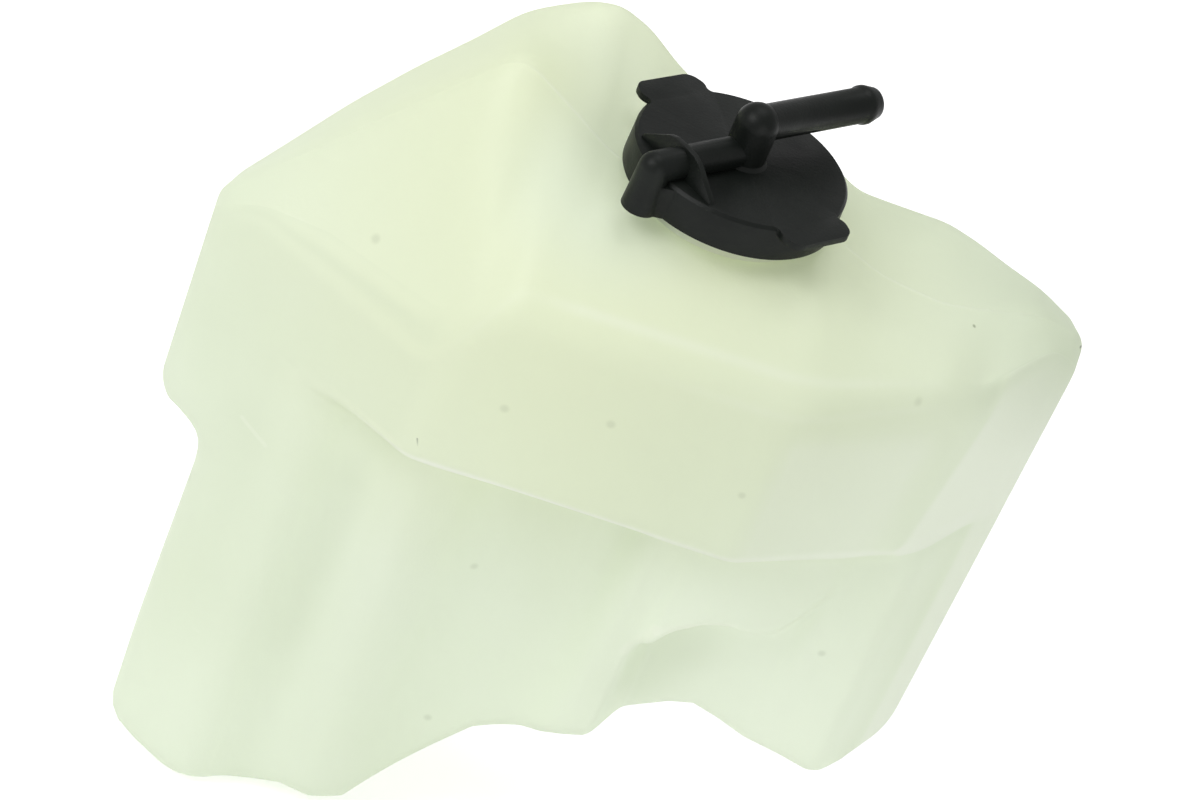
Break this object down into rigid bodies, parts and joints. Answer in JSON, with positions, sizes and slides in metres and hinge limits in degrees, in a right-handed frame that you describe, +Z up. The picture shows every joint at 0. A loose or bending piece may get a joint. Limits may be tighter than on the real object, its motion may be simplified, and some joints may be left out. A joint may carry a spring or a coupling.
{
  "type": "coolant expansion tank",
  "caption": "Stepped translucent plastic coolant expansion tank with a black quarter-turn cap that carries a hose outlet and a small vent pipe.",
  "frame": {"origin": "on the neck's axis, at the height of the flat platform round the neck", "axes": "+Z up along the neck, +Y towards the flat back wall, +X towards the tank's shorter end block"},
  "size_m": [0.2036, 0.0834, 0.229],
  "materials": {
    "tank_plastic": "translucent polyethylene, satin",
    "seal_rubber": "smooth",
    "cap_plastic": "satin moulded",
    "tube_plastic": "translucent polyethylene, satin"
  },
  "bodies": {
    "tank": {"tank": "tank_plastic"},
    "seal": {"seal": "seal_rubber"},
    "cap": {"cap": "cap_plastic", "dip_tube": "tube_plastic"}
  },
  "joints": [
    {"name": "cap_rise", "type": "slide", "parent": "tank", "child": "seal", "axis": [0, 0, 1], "range_m": [0, 0.00151]},
    {"name": "cap_turn", "type": "hinge", "parent": "seal", "child": "cap", "pos_m": [0, 0, 0], "axis": [0, 0, 1], "range_deg": [0, 90]}
  ],
  "couplings": [
    {"joint": "cap_rise", "follows": "cap_turn", "m_per_rad": 0.00095493}
  ]
}
